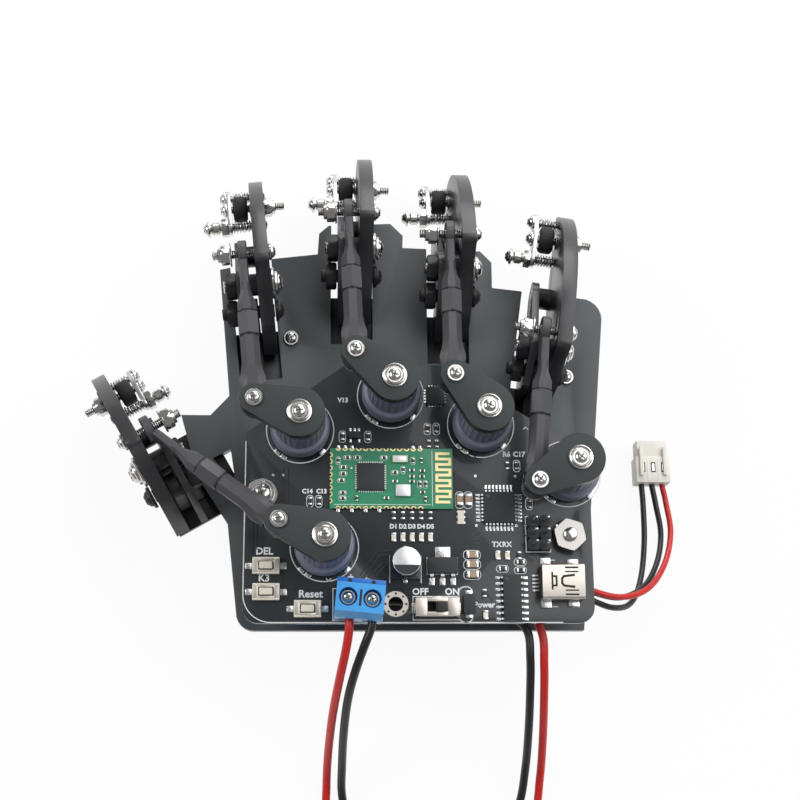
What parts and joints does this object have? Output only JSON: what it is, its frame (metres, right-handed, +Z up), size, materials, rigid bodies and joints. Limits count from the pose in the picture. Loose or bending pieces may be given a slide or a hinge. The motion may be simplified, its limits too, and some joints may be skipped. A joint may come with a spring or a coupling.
{
  "type": "hand exoskeleton sensor glove",
  "caption": "Wearable hand exoskeleton frame with swinging finger plates, ball-link rods, rotary sensor arms, a circuit board and battery leads.",
  "frame": {"origin": "underside of the hand plate, under the middle of the circuit board", "axes": "+Z up off the back of the hand, +Y to the fingertips, +X to the little finger"},
  "size_m": [0.1398, 0.1731, 0.051],
  "materials": {
    "hand_plate": "satin acrylic",
    "brackets": "satin",
    "nylon": "black nylon",
    "steel": "bright zinc",
    "brass": "satin",
    "pack": "shrink film",
    "board": "gloss solder mask",
    "radio": "gloss solder mask",
    "chip": "matte",
    "parts": "mixed small parts",
    "tin": "plated",
    "terminal": "gloss",
    "switch": "plated",
    "cap": "satin",
    "knob": "satin",
    "sensor": "satin",
    "arm": "matte acrylic",
    "rod": "moulded nylon",
    "plate": "cut acrylic",
    "tyre": "rubber",
    "red": "silicone sleeve",
    "black": "silicone sleeve",
    "white": "nylon"
  },
  "bodies": {
    "base": {"hand_plate": "hand_plate", "knuckle_brackets": "brackets", "knuckle_bolts": "nylon", "machine_screws": "steel", "standoffs": "brass", "battery": "pack", "circuit_board": "board", "radio_module": "radio", "chips": "chip", "small_components": "parts", "usb_socket": "tin", "screw_terminal": "terminal", "slide_switch": "switch", "button_bases": "switch", "sensor_bases": "sensor", "main_lead_red": "red", "main_lead_black": "black", "balance_wire_red": "red", "balance_wire_black": "black", "balance_wire_black_2": "black", "balance_plug": "white"},
    "switch_knob": {"switch_knob": "chip"},
    "mode_button": {"mode_button": "cap"},
    "delete_button": {"delete_button": "cap"},
    "reset_button": {"reset_button": "cap"},
    "thumb_finger": {"thumb_arch_plate": "plate", "thumb_side_plate": "plate", "thumb_hardware": "steel"},
    "thumb_sensor": {"thumb_knob": "knob", "thumb_arm": "arm"},
    "thumb_rod": {"thumb_rod": "rod"},
    "thumb_roller": {"thumb_roller": "tyre"},
    "index_finger": {"index_arch_plate": "plate", "index_side_plate": "plate", "index_hardware": "steel"},
    "index_sensor": {"index_knob": "knob", "index_arm": "arm"},
    "index_rod": {"index_rod": "rod"},
    "index_roller": {"index_roller": "tyre"},
    "middle_finger": {"middle_arch_plate": "plate", "middle_side_plate": "plate", "middle_hardware": "steel"},
    "middle_sensor": {"middle_knob": "knob", "middle_arm": "arm"},
    "middle_rod": {"middle_rod": "rod"},
    "middle_roller": {"middle_roller": "tyre"},
    "ring_finger": {"ring_arch_plate": "plate", "ring_side_plate": "plate", "ring_hardware": "steel"},
    "ring_sensor": {"ring_knob": "knob", "ring_arm": "arm"},
    "ring_rod": {"ring_rod": "rod"},
    "ring_roller": {"ring_roller": "tyre"},
    "little_finger": {"little_arch_plate": "plate", "little_side_plate": "plate", "little_hardware": "steel"},
    "little_sensor": {"little_knob": "knob", "little_arm": "arm"},
    "little_rod": {"little_rod": "rod"},
    "little_roller": {"little_roller": "tyre"}
  },
  "joints": [
    {"name": "thumb_knuckle", "type": "hinge", "parent": "base", "child": "thumb_finger", "pos_m": [-0.0537, 0.00175, 0.0125], "axis": [-0.866, -0.5, 0], "range_deg": [-26, 7]},
    {"name": "thumb_arm", "type": "hinge", "parent": "base", "child": "thumb_sensor", "pos_m": [-0.0205, -0.0125, 0.0284], "axis": [0, 0, 1], "range_deg": [-14, 47]},
    {"name": "thumb_rod_end", "type": "hinge", "parent": "thumb_sensor", "child": "thumb_rod", "pos_m": [-0.03055, -0.00984, 0.0284], "axis": [-0.1071, -0.0665, 0.992], "range_deg": [-54, 16]},
    {"name": "thumb_roller_spin", "type": "hinge", "parent": "thumb_finger", "child": "thumb_roller", "pos_m": [-0.06715, 0.02714, -0.00417], "axis": [0.866, 0.5, 0], "continuous": true},
    {"name": "index_knuckle", "type": "hinge", "parent": "base", "child": "index_finger", "pos_m": [-0.037, 0.042, 0.0125], "axis": [-0.9945, -0.1045, 0], "range_deg": [-20, 20]},
    {"name": "index_arm", "type": "hinge", "parent": "base", "child": "index_sensor", "pos_m": [-0.026, 0.0135, 0.0284], "axis": [0, 0, 1], "range_deg": [-25, 25]},
    {"name": "index_rod_end", "type": "hinge", "parent": "index_sensor", "child": "index_rod", "pos_m": [-0.03616, 0.01595, 0.0284], "axis": [-0.1946, -0.0782, 0.9778], "range_deg": [-28, 28]},
    {"name": "index_roller_spin", "type": "hinge", "parent": "index_finger", "child": "index_roller", "pos_m": [-0.04124, 0.07226, -0.00055], "axis": [0.9945, 0.1045, 0], "continuous": true},
    {"name": "middle_knuckle", "type": "hinge", "parent": "base", "child": "middle_finger", "pos_m": [-0.0147, 0.051, 0.0125], "axis": [-1, 0, 0], "range_deg": [-20, 20]},
    {"name": "middle_arm", "type": "hinge", "parent": "base", "child": "middle_sensor", "pos_m": [-0.006, 0.0215, 0.0284], "axis": [0, 0, 1], "range_deg": [-26, 26]},
    {"name": "middle_rod_end", "type": "hinge", "parent": "middle_sensor", "child": "middle_rod", "pos_m": [-0.01479, 0.02664, 0.0284], "axis": [-0.2138, -0.0303, 0.9764], "range_deg": [-31, 31]},
    {"name": "middle_roller_spin", "type": "hinge", "parent": "middle_finger", "child": "middle_roller", "pos_m": [-0.01575, 0.07942, -0.00467], "axis": [1, 0, 0], "continuous": true},
    {"name": "ring_knuckle", "type": "hinge", "parent": "base", "child": "ring_finger", "pos_m": [0.008, 0.0465, 0.0125], "axis": [-1, 0, 0], "range_deg": [-20, 15]},
    {"name": "ring_arm", "type": "hinge", "parent": "base", "child": "ring_sensor", "pos_m": [0.014, 0.015, 0.0284], "axis": [0, 0, 1], "range_deg": [-22, 29]},
    {"name": "ring_rod_end", "type": "hinge", "parent": "ring_sensor", "child": "ring_rod", "pos_m": [0.00633, 0.02198, 0.0284], "axis": [-0.1714, -0.0217, 0.985], "range_deg": [-35, 27]},
    {"name": "ring_roller_spin", "type": "hinge", "parent": "ring_finger", "child": "ring_roller", "pos_m": [0.00695, 0.07578, -0.00316], "axis": [1, 0, 0], "continuous": true},
    {"name": "little_knuckle", "type": "hinge", "parent": "base", "child": "little_finger", "pos_m": [0.0276, 0.0286, 0.0125], "axis": [-0.9903, 0.1392, 0], "range_deg": [-2, 34]},
    {"name": "little_arm", "type": "hinge", "parent": "base", "child": "little_sensor", "pos_m": [0.033, 0.004, 0.0284], "axis": [0, 0, 1], "range_deg": [-48, 4]},
    {"name": "little_rod_end", "type": "hinge", "parent": "little_sensor", "child": "little_rod", "pos_m": [0.02365, -0.00077, 0.0284], "axis": [-0.1754, -0.0941, 0.98], "range_deg": [-4, 45]},
    {"name": "little_roller_spin", "type": "hinge", "parent": "little_finger", "child": "little_roller", "pos_m": [0.03116, 0.0615, 0.00953], "axis": [0.9903, -0.1392, 0], "continuous": true},
    {"name": "mode_press", "type": "slide", "parent": "base", "child": "mode_button", "axis": [0, 0, -1], "range_m": [0, 0.00025], "stiffness_N_per_m": 400},
    {"name": "delete_press", "type": "slide", "parent": "base", "child": "delete_button", "axis": [0, 0, -1], "range_m": [0, 0.00025], "stiffness_N_per_m": 400},
    {"name": "reset_press", "type": "slide", "parent": "base", "child": "reset_button", "axis": [0, 0, -1], "range_m": [0, 0.00025], "stiffness_N_per_m": 400},
    {"name": "power_slide", "type": "slide", "parent": "base", "child": "switch_knob", "axis": [-1, 0, 0], "range_m": [0, 0.0016]}
  ],
  "couplings": [
    {"joint": "thumb_arm", "follows": "thumb_knuckle", "ratio": -1.75},
    {"joint": "thumb_rod_end", "follows": "thumb_knuckle", "ratio": 2.016},
    {"joint": "index_arm", "follows": "index_knuckle", "ratio": -1.178},
    {"joint": "index_rod_end", "follows": "index_knuckle", "ratio": 1.327},
    {"joint": "middle_arm", "follows": "middle_knuckle", "ratio": -1.242},
    {"joint": "middle_rod_end", "follows": "middle_knuckle", "ratio": 1.455},
    {"joint": "ring_arm", "follows": "ring_knuckle", "ratio": -1.394},
    {"joint": "ring_rod_end", "follows": "ring_knuckle", "ratio": 1.668},
    {"joint": "little_arm", "follows": "little_knuckle", "ratio": -1.37},
    {"joint": "little_rod_end", "follows": "little_knuckle", "ratio": 1.28}
  ]
}
